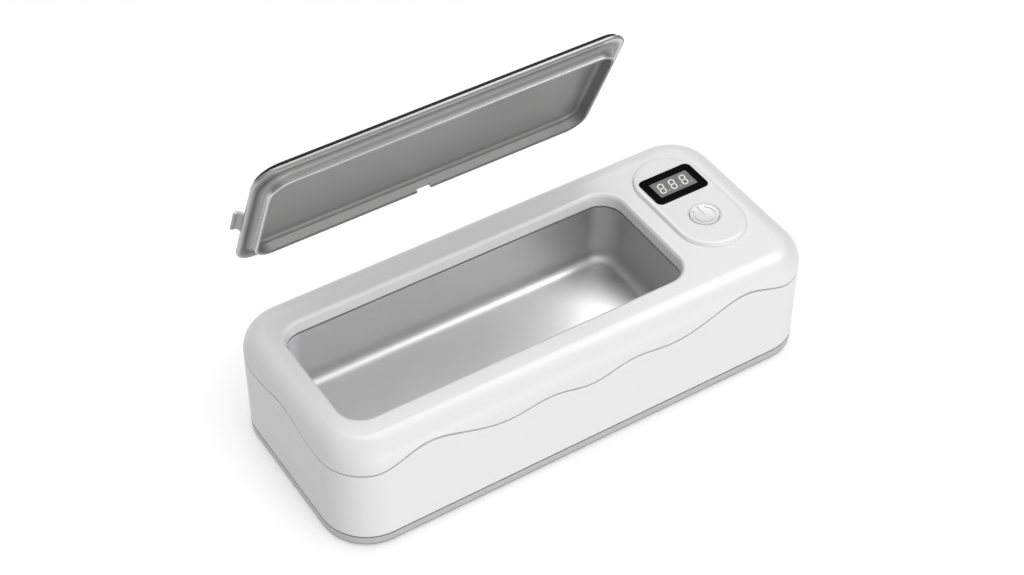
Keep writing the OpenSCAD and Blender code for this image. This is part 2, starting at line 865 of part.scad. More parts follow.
// Finger tab: an arched tongue on the left end, whose edge curls down
module finger_tab() {
    tab_w = 14;
    arch_r = 2.4;
    arch_t = 1;
    arch_x = 1.9;
    arch_end = 0.3;
    translate([-lid_l / 2, tab_w / 2, 0]) rotate([90, 0, 0]) linear_extrude(tab_w) {
        translate([-arch_x, lid_rim_t - arch_r]) difference() {
            circle(arch_r);
            circle(arch_r - arch_t);
            translate([-arch_r - 1, -2 * arch_r]) square([arch_r + 1, 2 * arch_r + arch_end]);
            translate([-eps, -2 * arch_r]) square([arch_r + 1, 3 * arch_r - lid_rim_t + eps]);
        }
        translate([-arch_x / 2, eps]) square([arch_x, lid_rim_t - 0.4]);
    }
}

// Concave corner of radius r between a face below y = 0 and one left of x = 0
module cove(r) {
    bite = 0.05;
    sunk = 0.5;
    difference() {
        translate([-sunk, -r]) square([r + sunk, r + sunk]);
        translate([r - bite, bite - r]) circle(r);
    }
}

module skirt_section() {
    translate([-skirt_t, skirt_t / 2 - skirt_h]) square([skirt_t, skirt_h + lid_panel_z]);
    translate([-skirt_t / 2, skirt_t / 2 - skirt_h]) circle(skirt_t / 2);
    cove(skirt_h - skirt_t / 2 - 0.1);
    translate([-skirt_t, lid_panel_z]) mirror([1, 0]) cove(3);
}

// Flat outline along the middle of the skirt's wall
module panel_recess() {
    round_rect(skirt_l - skirt_t, skirt_w - skirt_t, skirt_r - skirt_t / 2);
}

module lid_liner() {
    notch_x = 0;
    notch_w = 6;
    notch_h = 1.9;
    color("darkgray") raised() {
        difference() {
            union() {
                eased_block(lid_l, lid_w, lid_r, 0, lid_rim_t, 0.5);
                finger_tab();
            }
            translate([0, 0, -1]) linear_extrude(4) panel_recess();
        }
        difference() {
            sweep(skirt_l, skirt_w, skirt_r) translate([skirt_r, 0]) skirt_section();
            translate([notch_x - notch_w / 2, skirt_w / 2 - skirt_t - 1, -skirt_h - 1])
                cube([notch_w, skirt_t + 2, notch_h + 1]);
        }
        translate([0, 0, lid_panel_z]) linear_extrude(lid_panel_t) panel_recess();
    }
}

module lid_edge_seal() {
    color("black") raised() sweep(lid_l - 2 * lid_end_in, lid_w, lid_r)
        translate([lid_r - seal_in, lid_rim_t]) square([seal_in - slip, lid_seal_t]);
}

// Shallow dome whose edge meets the seal
module lid_dome(low) {
    edge_in = seal_in + press;
    run = lid_r - edge_in;
    drop = lid_crown - lid_rim_t - lid_seal_t;
    arc_r = (run * run + drop * drop) / (2 * drop);
    dome_l = lid_l - 2 * lid_end_in;
    sweep(dome_l, lid_w, lid_r) intersection() {
        translate([0, low]) square([run, lid_crown]);
        translate([0, lid_crown - arc_r]) circle(arc_r, $fn = 256);
    }
    translate([lid_r - dome_l / 2, lid_r - lid_w / 2, low])
        cube([dome_l - 2 * lid_r, lid_w - 2 * lid_r, lid_crown - low]);
}

module lid_cover() {
    color("darkgray") raised() difference() {
        lid_dome(lid_rim_t);
        linear_extrude(lid_panel_z + lid_panel_t)
            round_rect(skirt_l + 2 * slip, skirt_w + 2 * slip, skirt_r + slip);
    }
}

upper_housing();
lower_housing();
base_plate();
foot_pads();
base_screws();
tank();
tank_gasket();
tank_clamp();
clamp_screws();
transducer_bond();
piezo_disc();
transducer_leads();
driver_board();
board_screws();
transformer_core();
transformer_winding();
filter_capacitors();
film_capacitor();
heat_sink();
power_transistor();
board_connectors();
control_panel();
display_bezel();
display_window();
digit_segments();
display_module();
control_board();
control_screws();
push_switch();
switch_plunger();
power_button();
ribbon_cable();
power_inlet();
inlet_pin();
inlet_leads();
lid_liner();
lid_edge_seal();
lid_cover();
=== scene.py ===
# %% [markdown]
# # A table-top ultrasonic cleaner
# The cleaner's solids come from the imported frame at their real size, in metres. This lesson dresses
# them: it sets the camera and the light, makes a finish for every material, and models the
# underside of the lid anew, because its fine edges and its painted shade and highlights show more
# than the solid has.

# %% Load the frame
import json
import math

import bmesh
import bpy
from mathutils import Matrix, Vector


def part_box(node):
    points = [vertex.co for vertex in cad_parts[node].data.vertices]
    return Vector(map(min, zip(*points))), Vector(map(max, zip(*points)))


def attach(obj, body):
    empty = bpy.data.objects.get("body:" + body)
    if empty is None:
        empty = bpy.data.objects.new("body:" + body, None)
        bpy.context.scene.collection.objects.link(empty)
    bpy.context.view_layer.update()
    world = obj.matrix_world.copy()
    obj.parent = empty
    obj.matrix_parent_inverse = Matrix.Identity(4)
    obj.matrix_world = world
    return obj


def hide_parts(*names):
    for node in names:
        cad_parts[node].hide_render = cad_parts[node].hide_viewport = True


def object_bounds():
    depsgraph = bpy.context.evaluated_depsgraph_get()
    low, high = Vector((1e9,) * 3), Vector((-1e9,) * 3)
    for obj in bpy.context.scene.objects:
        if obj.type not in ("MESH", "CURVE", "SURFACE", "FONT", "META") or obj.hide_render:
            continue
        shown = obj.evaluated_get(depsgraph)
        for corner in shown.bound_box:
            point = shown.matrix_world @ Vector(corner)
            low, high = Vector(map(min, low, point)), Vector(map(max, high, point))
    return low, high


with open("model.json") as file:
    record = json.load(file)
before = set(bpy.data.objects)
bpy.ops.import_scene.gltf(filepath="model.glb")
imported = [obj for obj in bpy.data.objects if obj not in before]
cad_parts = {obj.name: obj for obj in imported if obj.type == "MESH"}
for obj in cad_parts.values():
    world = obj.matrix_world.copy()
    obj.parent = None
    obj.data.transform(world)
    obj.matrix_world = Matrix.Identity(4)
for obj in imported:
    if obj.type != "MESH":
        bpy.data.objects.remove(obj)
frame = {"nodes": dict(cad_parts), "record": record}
nodes = frame["nodes"]
cad_low, cad_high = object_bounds()
MM = 0.001
print(len(nodes), "solids, box in mm", [round((b - a) / MM, 1) for a, b in zip(cad_low, cad_high)])

# %% [markdown]
# ## Camera
# The camera stands in front of the left end and looks down at the cleaner. Its place and its three
# axes could be guessed by eye, but they were worked out from the corners of the body in the
# picture, so that every edge lands where the picture has it.

# %% Set the camera
CAMERA_PLACE = Vector((-308.6, -468.1, 582.7)) * MM
CAMERA_RIGHT = Vector((0.84269, -0.53838, 0.00442))
CAMERA_UP = Vector((0.37000, 0.58507, 0.72166))
CAMERA_BACK = Vector((-0.39111, -0.60650, 0.69224))
SENSOR_WIDTH = 36
LENS = 74.13

scene = bpy.context.scene
camera_data = bpy.data.cameras.new("camera")
camera_data.sensor_fit = "HORIZONTAL"
camera_data.sensor_width = SENSOR_WIDTH
camera_data.lens = LENS
camera = bpy.data.objects.new("camera", camera_data)
camera_turn = Matrix((CAMERA_RIGHT, CAMERA_UP, CAMERA_BACK)).transposed()
camera.matrix_world = Matrix.Translation(CAMERA_PLACE) @ camera_turn.to_4x4()
scene.collection.objects.link(camera)
scene.camera = camera
print("camera", [round(c / MM) for c in CAMERA_PLACE], "mm, lens", LENS)

# %% [markdown]
# ## Studio
# White plastic shows its form only by soft shades of grey, so the light is a white room: a pale
# floor, a bright world and a few large soft boxes. Matt surfaces take no light from the floor or
# from the sheen box, which serve reflections only, so that the whites don't burn out. The view
# transform is Standard, because a film-like curve would turn the whites grey.

# %% Lay the floor
FLOOR_SIZE = 24.0
FLOOR_TINT = (0.93, 0.93, 0.93, 1)
FLOOR_ROUGHNESS = 0.9
FLOOR_SPECULAR = 0.1
FLOOR_GLOW = 0.3

scene.view_settings.view_transform = "Standard"


def make_floor():
    shape = bmesh.new()
    bmesh.ops.create_grid(shape, x_segments=1, y_segments=1, size=FLOOR_SIZE / 2)
    bmesh.ops.translate(shape, vec=(0, 0, cad_low[2]), verts=shape.verts)
    mesh = bpy.data.meshes.new("floor")
    shape.to_mesh(mesh)
    shape.free()
    floor = bpy.data.objects.new("floor", mesh)
    scene.collection.objects.link(floor)
    paint = bpy.data.materials.new("floor_paint")
    paint.use_nodes = True
    surface = paint.node_tree.nodes["Principled BSDF"]
    surface.inputs["Base Color"].default_value = FLOOR_TINT
    surface.inputs["Roughness"].default_value = FLOOR_ROUGHNESS
    surface.inputs["Specular IOR Level"].default_value = FLOOR_SPECULAR
    surface.inputs["Emission Color"].default_value = (1, 1, 1, 1)
    surface.inputs["Emission Strength"].default_value = FLOOR_GLOW
    mesh.materials.append(paint)
    floor.visible_diffuse = False
    return floor


floor = make_floor()
print("floor of", FLOOR_SIZE, "m at", round(cad_low[2] / MM, 2), "mm")

# %% Hang the soft boxes
LIGHT_AIM = Vector((0, 0, cad_high[2] / 3))
SOFT_BOXES = {
    "key_box": {"place": (0.3, -0.3, 1.0), "width": 1.0, "height": 0.8, "watts": 1.6},
    "front_box": {"place": (0, -1.15, 0.2), "width": 0.9, "height": 0.4, "watts": 2.8},
    "sheen_box": {"place": (0.45, 0.34, 1.0), "width": 1.5, "height": 0.45, "watts": 20},
}


def soft_box(name, place, width, height, watts):
    data = bpy.data.lights.new(name, "AREA")
    data.shape = "RECTANGLE"
    data.size = width
    data.size_y = height
    data.energy = watts
    lamp = bpy.data.objects.new(name, data)
    aim = LIGHT_AIM - Vector(place)
    lamp_turn = aim.to_track_quat("-Z", "Y").to_matrix()
    lamp.matrix_world = Matrix.Translation(place) @ lamp_turn.to_4x4()
    scene.collection.objects.link(lamp)
    return lamp


lamps = {name: soft_box(name, **box) for name, box in SOFT_BOXES.items()}
lamps["sheen_box"].visible_diffuse = False
print(len(lamps), "soft boxes,", sum(box["watts"] for box in SOFT_BOXES.values()), "W in all")

# %% [markdown]
# ## Shader sums
# A finish is a small sum of patterns. Wiring Math nodes by hand hides that sum, so one class wraps
# a socket and lets Python's own operators add the nodes. Every other kind of node comes from its
# one method, which sets the node's options first and then its sockets.

# %% The wire class


class Wire:
    """A socket in a node tree. Sums of wires add Math nodes, and node() adds any other node."""

    def __init__(self, tree, socket=None):
        self.tree = tree
        self.socket = socket

    def node(self, kind, settings, inputs, output=0):
        made = self.tree.nodes.new(kind)
        for name, value in settings.items():
            if name == "stops":
                for i, (place, colour) in enumerate(value):
                    stop = made.color_ramp.elements[i] if i < 2 else made.color_ramp.elements.new(place)
                    stop.position = place
                    stop.color = colour
            else:
                setattr(made, name, value)
        for name, value in inputs.items():
            if isinstance(value, Wire):
                self.tree.links.new(value.socket, made.inputs[name])
            else:
                made.inputs[name].default_value = value
        return Wire(self.tree, made.outputs[output])

    def math(self, operation, first, second):
        return self.node("ShaderNodeMath", {"operation": operation}, {0: first, 1: second})

    def __add__(self, other):
        return self.math("ADD", self, other)

    def __sub__(self, other):
        return self.math("SUBTRACT", self, other)

    def __rsub__(self, other):
        return self.math("SUBTRACT", other, self)

    def __mul__(self, other):
        return self.math("MULTIPLY", self, other)

    __radd__ = __add__
    __rmul__ = __mul__


print("wires add, subtract and multiply")

# %% [markdown]
# ### What all finishes share
# Patterns read the Object coordinates of their piece, so they stay in place when the piece moves.
# The helpers below name the steps that come back in each finish: a noise of a given size, a mix of
# two colours, a new material, a link into a socket, and a bump.

# %% Helpers for the finishes


def place_on(wire, axis=None):
    """Object coordinates, or only the one that axis names."""
    place = wire.node("ShaderNodeTexCoord", {}, {}, "Object")
    if axis is None:
        return place
    return wire.node("ShaderNodeSeparateXYZ", {}, {"Vector": place}, axis)


def grain(wire, size, detail=3, stretch=(1, 1, 1)):
    """Noise from 0 to 1 whose spots are about size metres across, longer along a stretched axis."""
    scale = tuple(1 / s for s in stretch)
    place = wire.node("ShaderNodeMapping", {}, {"Vector": place_on(wire), "Scale": scale})
    return wire.node("ShaderNodeTexNoise", {}, {"Vector": place, "Scale": 1 / size, "Detail": detail})


def shade(tint, factor):
    """A lighter or darker tone of a tint."""
    return tuple(min(1, c * factor) for c in tint)


def blend(wire, mask, first, second):
    """Colour that goes from first, a tint or a wire, to the tint second as mask goes from 0 to 1."""
    start = first if isinstance(first, Wire) else (*first, 1)
    inputs = {"Factor": mask, 6: start, 7: (*second, 1)}
    return wire.node("ShaderNodeMix", {"data_type": "RGBA"}, inputs, 2)


def new_finish(name, **constants):
    """A material whose shader has these constant values, and the wire that its patterns start from."""
    paint = bpy.data.materials.new(name)
    paint.use_nodes = True
    surface = paint.node_tree.nodes["Principled BSDF"]
    for socket, value in constants.items():
        surface.inputs[socket.replace("_", " ")].default_value = value
    return paint, surface, Wire(paint.node_tree)


def feed(surface, socket, wire):
    wire.tree.links.new(wire.socket, surface.inputs[socket])


def rough_skin(surface, wire, height, depth):
    """Lets a pattern lift the surface by up to depth metres."""
    inputs = {"Height": height, "Distance": depth, "Strength": 1.0}
    feed(surface, "Normal", wire.node("ShaderNodeBump", {}, inputs))


finishes = {}


def keep(recipe, name, *values, **options):
    """Makes a finish by its recipe and files it under the record's name for that slot."""
    finishes[name] = recipe(name, *values, **options)


slots = {part["material_slot"] for part in frame["record"]["subparts"]}
print("helpers ready,", len(slots), "finishes to make")

# %% [markdown]
# ## Room
# The room is bright ahead, behind and above, and dim at the two sides, as a studio is whose white
# panels stand on two sides only. Its light falls off with the sideways part of the direction, so
# the ends of the cleaner turn a shade darker than its front. Behind the floor it shows plain white.

# %% World light
ROOM_LIGHT = 1.08
ROOM_SIDES = 0.8

room = bpy.data.worlds.new("room")
room.use_nodes = True
scene.world = room
sky = Wire(room.node_tree)
direction = sky.node("ShaderNodeTexCoord", {}, {}, "Generated")
sideways = sky.node("ShaderNodeSeparateXYZ", {}, {"Vector": direction}, "X")
sideways = sky.node("ShaderNodeMath", {"operation": "ABSOLUTE"}, {0: sideways})
backdrop = room.node_tree.nodes["Background"]
backdrop.inputs["Color"].default_value = (1, 1, 1, 1)
seen = sky.node("ShaderNodeLightPath", {}, {}, "Is Camera Ray")
feed(backdrop, "Strength", seen + (1 - seen) * (ROOM_LIGHT * (1 - ROOM_SIDES * sideways)))
print("room light", ROOM_LIGHT, "falls to", round(ROOM_LIGHT * (1 - ROOM_SIDES), 2), "at the sides")

# %% [markdown]
# ## Moulded plastic
# The shells are white plastic from a finely etched mould. A smooth white would look like paint, so
# a very small grain lifts the surface and shifts its gloss, and wide faint clouds keep the large
# faces from being one flat colour. Rubber and resin are the same recipe with a coarser grain.

# %% Plastics and rubbers
MOULD_SPOT = 0.35 * MM
MOULD_LIFT = 0.004 * MM
RUBBER_SPOT = 0.5 * MM
RUBBER_LIFT = 0.02 * MM
RESIN_SPOT = 1 * MM
RESIN_LIFT = 0.03 * MM
CLOUD_SIZE = 40 * MM
FINE_GLOSS = 0.05
CLOUD_GLOSS = 0.03
WHITE = (0.87, 0.868, 0.872)


def moulded(name, tint, gloss, cloud, spot=MOULD_SPOT, lift=MOULD_LIFT, **constants):
    paint, surface, wire = new_finish(name, **constants)
    fine = grain(wire, spot)
    wide = grain(wire, CLOUD_SIZE, 2)
    feed(surface, "Base Color", blend(wire, wide, shade(tint, 1 - cloud), shade(tint, 1 + cloud)))
    feed(surface, "Roughness", gloss + FINE_GLOSS * (fine - 0.5) + CLOUD_GLOSS * (wide - 0.5))
    rough_skin(surface, wire, fine, lift)
    return paint


keep(moulded, "shell_white", WHITE, 0.36, 0.01)
keep(moulded, "panel_white", WHITE, 0.32, 0.01)
keep(moulded, "connector_white", (0.7, 0.67, 0.58), 0.45, 0.05)
keep(moulded, "component_black", (0.02, 0.02, 0.021), 0.5, 0.15)
keep(moulded, "capacitor_sleeve", (0.015, 0.02, 0.07), 0.25, 0.1)
keep(moulded, "lead_red", (0.45, 0.03, 0.025), 0.45, 0.1)
keep(moulded, "lead_black", (0.02, 0.02, 0.02), 0.45, 0.1)
keep(moulded, "ribbon_grey", (0.4, 0.4, 0.41), 0.5, 0.08)
keep(moulded, "dark_rubber", (0.016, 0.016, 0.017), 0.75, 0.15, RUBBER_SPOT, RUBBER_LIFT,
     Specular_IOR_Level=0.15)
keep(moulded, "seal_rubber", (0.2, 0.2, 0.2), 0.65, 0.1, RUBBER_SPOT, RUBBER_LIFT)
keep(moulded, "epoxy", (0.5, 0.42, 0.2), 0.35, 0.12, RESIN_SPOT, RESIN_LIFT)
keep(moulded, "film_orange", (0.5, 0.14, 0.02), 0.35, 0.1, RESIN_SPOT, RESIN_LIFT)
keep(moulded, "ferrite", (0.05, 0.05, 0.052), 0.55, 0.2, 0.6 * MM, RESIN_LIFT)
print(len(finishes), "moulded finishes")

# %% [markdown]
# ## Satin silver
# The lid and the base are plastic with a silver coat: bright flakes in a clear binder. It is
# between a metal and a paint, so it is half metallic, and a flake pattern shifts its colour and
# its gloss from spot to spot. A finish may also take painted shade near the table: below a given
# height its colour darkens in patches and its gloss dulls.

# %% Silver coat
SILVER = (0.31, 0.31, 0.308)
SILVER_METAL = 0.5
FLAKE_SIZE = 0.25 * MM
FLAKE_LIFT = 0.003 * MM
FLAKE_SHARE = 0.7
FLAKE_GLOSS = 0.08
TONE_SIZE = 30 * MM
TONE_GLOSS = 0.04
SILVER_DEEP = 0.93
SILVER_PALE = 1.06
SHADE_RUN = 1.2 * MM
SHADE_SPOT = 3 * MM
SHADE_EVEN = 0.7
SHADE_GLOSS = 0.15
SHADE_DEEP = 0.45


def below(wire, level, run):
    """Mask that goes from 0 at a level to 1 at run metres under it."""
    span = {"From Min": level, "From Max": level - run, "To Min": 0.0, "To Max": 1.0}
    return wire.node("ShaderNodeMapRange", {"clamp": True}, {"Value": place_on(wire, "Z"), **span})


def silver_coat(name, tint, gloss, shade_level=None):
    paint, surface, wire = new_finish(name, Metallic=SILVER_METAL)
    flake = grain(wire, FLAKE_SIZE, 2)
    wide = grain(wire, TONE_SIZE, 2)
    spots = FLAKE_SHARE * flake + (1 - FLAKE_SHARE) * wide
    colour = blend(wire, spots, shade(tint, SILVER_DEEP), shade(tint, SILVER_PALE))
    rough = gloss + FLAKE_GLOSS * (flake - 0.5) + TONE_GLOSS * (wide - 0.5)
    # Painted shade along the foot: darker and duller below the level, in patches
    if shade_level is not None:
        shade_patches = SHADE_EVEN + (1 - SHADE_EVEN) * grain(wire, SHADE_SPOT)
        painted_shade = below(wire, shade_level, SHADE_RUN) * shade_patches
        colour = blend(wire, painted_shade, colour, shade(tint, SHADE_DEEP))
        rough = rough + SHADE_GLOSS * painted_shade
    feed(surface, "Base Color", colour)
    feed(surface, "Roughness", rough)
    rough_skin(surface, wire, flake, FLAKE_LIFT)
    return paint


keep(silver_coat, "base_silver", (0.53, 0.526, 0.526), 0.4, 1.6 * MM)
keep(silver_coat, "lid_silver", SILVER, 0.36)
print("with the silver coats", len(finishes), "finishes")

# %% [markdown]
# ## Steel and other metals
# The tank is pressed stainless steel, and the drawing leaves fine lines along its length. Noise
# that is stretched along X gives those lines. The heat sink's lines run along Z, and the same
# recipe with round spots serves screws, pins and the silvered faces of the piezo disc.

# %% Metals
ALONG_X = (30, 1, 1)
ALONG_Z = (1, 1, 30)
LINE_SIZE = 0.4 * MM
LINE_LIFT = 0.003 * MM
LINE_SHARE = 0.6
LINE_GLOSS = 0.12
STAIN_SIZE = 18 * MM
STAIN_GLOSS = 0.04
METAL_DEEP = 0.9
METAL_PALE = 1.07


def bare_metal(name, tint, gloss, spot=LINE_SIZE, stretch=(1, 1, 1)):
    paint, surface, wire = new_finish(name, Metallic=1.0)
    lines = grain(wire, spot, 4, stretch)
    wide = grain(wire, STAIN_SIZE)
    spots = LINE_SHARE * lines + (1 - LINE_SHARE) * wide
    feed(surface, "Base Color", blend(wire, spots, shade(tint, METAL_DEEP), shade(tint, METAL_PALE)))
    feed(surface, "Roughness", gloss + LINE_GLOSS * (lines - 0.5) + STAIN_GLOSS * (wide - 0.5))
    rough_skin(surface, wire, lines, LINE_LIFT)
    return paint


keep(bare_metal, "tank_steel", (0.64, 0.64, 0.645), 0.46, 0.3 * MM, ALONG_X)
keep(bare_metal, "sink_aluminium", (0.7, 0.7, 0.72), 0.39, LINE_SIZE, ALONG_Z)
keep(bare_metal, "screw_steel", (0.6, 0.6, 0.62), 0.31)
keep(bare_metal, "clamp_steel", (0.5, 0.51, 0.53), 0.46, 2 * MM)
keep(bare_metal, "piezo_ceramic", (0.75, 0.74, 0.7), 0.51)
keep(bare_metal, "pin_brass", (0.72, 0.5, 0.16), 0.26)
print("with the metals", len(finishes), "finishes")

# %% [markdown]
# ## Display
# The display is a black gloss frame round a smoked window, with pale segments behind it. The
# segments give off a little light of their own, so that they read as lit in a bright room. The
# three points are off, so a mask round each of them keeps only a part of that colour. Their places
# follow from the segments' own box: a point stands at the foot of each figure, on its right.

# %% Display finishes
DIGIT_PITCH = 5.1 * MM
POINT_ROOM = 1 * MM
POINT_SHARE = 0.75
SEGMENT_SPOT = 0.3 * MM
SEGMENT_DULL = 0.5
BLACK = (0.002, 0.002, 0.002)
digits_low, digits_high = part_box("digit_segments")


def off_points(wire):
    """Mask that is 1 on the three points of the display and 0 on its bars."""
    steps = (digits_high[0] - place_on(wire, "X")) * (1 / DIGIT_PITCH)
    part = wire.node("ShaderNodeMath", {"operation": "FRACT"}, {0: steps + 1})
    beside = wire.math("LESS_THAN", part, POINT_ROOM / DIGIT_PITCH)
    foot = wire.math("LESS_THAN", place_on(wire, "Y"), digits_low[1] + POINT_ROOM)
    return beside * foot


def lit_segments(name, tint, light):
    paint, surface, wire = new_finish(name, Emission_Strength=light, Roughness=0.4)
    dim = (1 - POINT_SHARE) * grain(wire, SEGMENT_SPOT, 2) + POINT_SHARE * off_points(wire)
    colour = blend(wire, dim, tint, shade(tint, SEGMENT_DULL))
    feed(surface, "Base Color", colour)
    feed(surface, "Emission Color", colour)
    return paint


keep(moulded, "display_black", BLACK, 0.14, 0.2, lift=0, Specular_IOR_Level=0.03)
keep(moulded, "display_grey", (0.2, 0.205, 0.2), 0.3, 0.08, Specular_IOR_Level=0.2)
keep(lit_segments, "segment_white", (0.78, 0.77, 0.71), 0.2)
figures_width = (digits_high[0] - digits_low[0]) / MM
print("figures", round(figures_width, 1), "mm wide in all,", len(finishes), "finishes")

# %% [markdown]
# ## Circuit boards and windings
# These sit inside the housing and are seen only when it is taken apart. A board is green lacquer
# over copper tracks, which a grid of cells suggests; a winding is enamelled wire in close rows.

# %% Inner finishes
TRACK_PITCH = 2.5 * MM
TRACK_WIDTH = 0.12
TRACK_LIFT = 0.02 * MM
WIRE_ROWS = 500.0
WIRE_LIFT = 0.1 * MM
WIRE_DEEP = 0.6
WIRE_GLOSS = 0.25
GAP_GLOSS = 0.2


def lacquered_board(name, tint, track):
    paint, surface, wire = new_finish(name, Roughness=0.35)
    inputs = {"Vector": place_on(wire), "Scale": 1 / TRACK_PITCH, "Randomness": 0.0}
    cells = wire.node("ShaderNodeTexVoronoi", {"feature": "DISTANCE_TO_EDGE"}, inputs)
    near = wire.math("LESS_THAN", cells, TRACK_WIDTH)
    feed(surface, "Base Color", blend(wire, near, tint, track))
    rough_skin(surface, wire, near, TRACK_LIFT)
    return paint


def wound_wire(name, tint):
    paint, surface, wire = new_finish(name, Metallic=0.8)
    inputs = {"Vector": place_on(wire), "Scale": WIRE_ROWS, "Distortion": 0.3}
    rows = wire.node("ShaderNodeTexWave", {"bands_direction": "Z"}, inputs)
    feed(surface, "Base Color", blend(wire, rows, shade(tint, WIRE_DEEP), tint))
    feed(surface, "Roughness", WIRE_GLOSS + GAP_GLOSS * rows)
    rough_skin(surface, wire, rows, WIRE_LIFT)
    return paint


keep(lacquered_board, "board_green", (0.02, 0.12, 0.06), (0.04, 0.2, 0.1))
keep(wound_wire, "copper_wire", (0.6, 0.25, 0.09))
print("with the inner parts", len(finishes), "finishes")

# %% [markdown]
# ## Dressing the solids
# The record names a material slot for every solid. Each solid's own shape is right, so its mesh
# stays as it is and only its material changes.

# %% Give each solid its finish
for part in frame["record"]["subparts"]:
    mesh = nodes[part["node"]].data
    mesh.materials.clear()
    mesh.materials.append(finishes[part["material_slot"]])
print(len(finishes), "finishes on", len(nodes), "solids")

# %% [markdown]
# ## Lid tray
# The underside of the lid is one thin tray: a lip, a flat flange, a hollow groove, a skirt that
# drops into the tank, and a panel inside it. Its edges are finer than the solid's. Its coat holds
# painted shade and painted highlights: the groove is painted dark, the flange and the skirt's edge
# bright, and the rear inner wall and the skirt's wall at the left end bright too. The tray is a stack
# of rounded rectangles that bridge_loops joins, so one list of steps from the back to the panel
# gives its whole section. Each step also says how much painted light the coat has there, and the
# finish reads that from the mesh.

# %% Sizes of the tray
# An outline is a length, a width and a corner radius
LID_OUTLINE = (152 * MM, 64.6 * MM, 9 * MM)
SKIRT_OUTLINE = (142 * MM, 53.2 * MM, 8 * MM)
LIP_HEIGHT = 1.4 * MM
LIP_ROUND = 0.5 * MM
FLANGE_SHINE = 1.3 * MM
GROOVE_RUN = 2.6 * MM
GROOVE_DROP = 3.1 * MM
SKIRT_DROP = 3.6 * MM
SKIRT_WALL = 1.3 * MM
RIM_ROUND = 0.35 * MM
PANEL_LEVEL = 1.9 * MM
PANEL_BACK = 3.2 * MM
PANEL_ROUND = 1.6 * MM
HOLD = 0.15 * MM
NUDGE = 0.02 * MM
QUARTER_STEPS = 6
CORNER_STEPS = 14

# Painted light on the coat, from 0 for painted shade to 1 for painted highlight: on most sides,
# on the rear side, and on the left end
PAINTED_LIGHT_ZONES = {
    "back": (0.5, 0.5, 0.5),
    "lip": (0.32, 0.3, 0.85),
    "flange": (1.0, 0.5, 0.85),
    "flange_end": (0.93, 0.5, 0.1),
    "groove": (0.45, 0.25, 0.0),
    "wall": (0.32, 0.3, 1.0),
    "edge": (0.8, 0.3, 1.0),
    "rim": (0.55, 0.1, 0.6),
    "inner": (0.48, 1.0, 0.5),
    "corner": (0.48, 0.32, 0.48),
    "panel": (0.5, 0.5, 0.5),
}
print("tray of", [round(c / MM, 1) for c in LID_OUTLINE], "mm, worn in", len(PAINTED_LIGHT_ZONES), "zones")

# %% Steps from the back to the panel


def quarter(radius):
    """Sideways and downward parts of a quarter round that leaves sideways and ends downwards."""
    angles = [math.pi / 2 * i / QUARTER_STEPS for i in range(QUARTER_STEPS + 1)]
    return [(radius * math.sin(a), radius * (1 - math.cos(a))) for a in angles]


def hollow():
    """The groove's quarter round, whose painted light goes from the groove's to the wall's."""
    steps = []
    for i, (a, b) in enumerate(quarter(1)):
        pairs = zip(PAINTED_LIGHT_ZONES["groove"], PAINTED_LIGHT_ZONES["wall"])
        shaded = [start + (end - start) * i / QUARTER_STEPS for start, end in pairs]
        steps.append((SKIRT_OUTLINE, (a - 1) * GROOVE_RUN, -b * GROOVE_DROP, shaded))
    return steps


def tray_steps():
    """Outline, inset, level and painted light of each loop, from the back of the panel to its face.

    No two loops share a plane: a nudge between them tells bridge_loops which way they face.
    """
    lid, skirt = LID_OUTLINE, SKIRT_OUTLINE
    steps = [(skirt, SKIRT_WALL / 2, PANEL_BACK, PAINTED_LIGHT_ZONES["back"])]
    steps.append((skirt, SKIRT_WALL / 2, LIP_HEIGHT + NUDGE, PAINTED_LIGHT_ZONES["back"]))
    steps += [(lid, LIP_ROUND - a, LIP_HEIGHT - b, PAINTED_LIGHT_ZONES["lip"]) for a, b in quarter(LIP_ROUND)]
    steps += [(lid, b, LIP_ROUND - a, PAINTED_LIGHT_ZONES["lip"]) for a, b in quarter(LIP_ROUND)]
    steps.append((lid, LIP_ROUND + HOLD, NUDGE, PAINTED_LIGHT_ZONES["flange"]))
    steps.append((lid, LIP_ROUND + FLANGE_SHINE, 2 * NUDGE, PAINTED_LIGHT_ZONES["flange_end"]))
    steps.append((skirt, -GROOVE_RUN - HOLD, NUDGE, PAINTED_LIGHT_ZONES["groove"]))
    steps += hollow()
    drop = RIM_ROUND - SKIRT_DROP
    steps += [(skirt, b, drop - a, PAINTED_LIGHT_ZONES["edge"]) for a, b in quarter(RIM_ROUND)]
    inset = SKIRT_WALL - RIM_ROUND
    steps += [(skirt, inset + a, b + NUDGE - SKIRT_DROP, PAINTED_LIGHT_ZONES["rim"]) for a, b in quarter(RIM_ROUND)]
    steps.append((skirt, SKIRT_WALL, drop + HOLD, PAINTED_LIGHT_ZONES["inner"]))
    start = PANEL_LEVEL - PANEL_ROUND
    steps.append((skirt, SKIRT_WALL, start - HOLD, PAINTED_LIGHT_ZONES["inner"]))
    steps += [(skirt, SKIRT_WALL + b, start + a, PAINTED_LIGHT_ZONES["corner"]) for a, b in quarter(PANEL_ROUND)]
    steps.append((skirt, SKIRT_WALL + PANEL_ROUND + HOLD, PANEL_LEVEL + NUDGE, PAINTED_LIGHT_ZONES["panel"]))
    return steps


print(len(tray_steps()), "steps round the tray")

# %% Stack the loops and bridge them


def shaded_here(shaded, place, size):
    """Painted light of a step at a place, eased round the corners to the rear side and the left end."""
    length, width, corner = size
    most, rear, left = shaded
    to_rear = min(1, max(0, (place.y - width / 2) / corner + 1))
    to_left = min(1, max(0, (-place.x - length / 2) / corner + 1))
    along = most + (rear - most) * to_rear
    return along + (left - along) * to_left


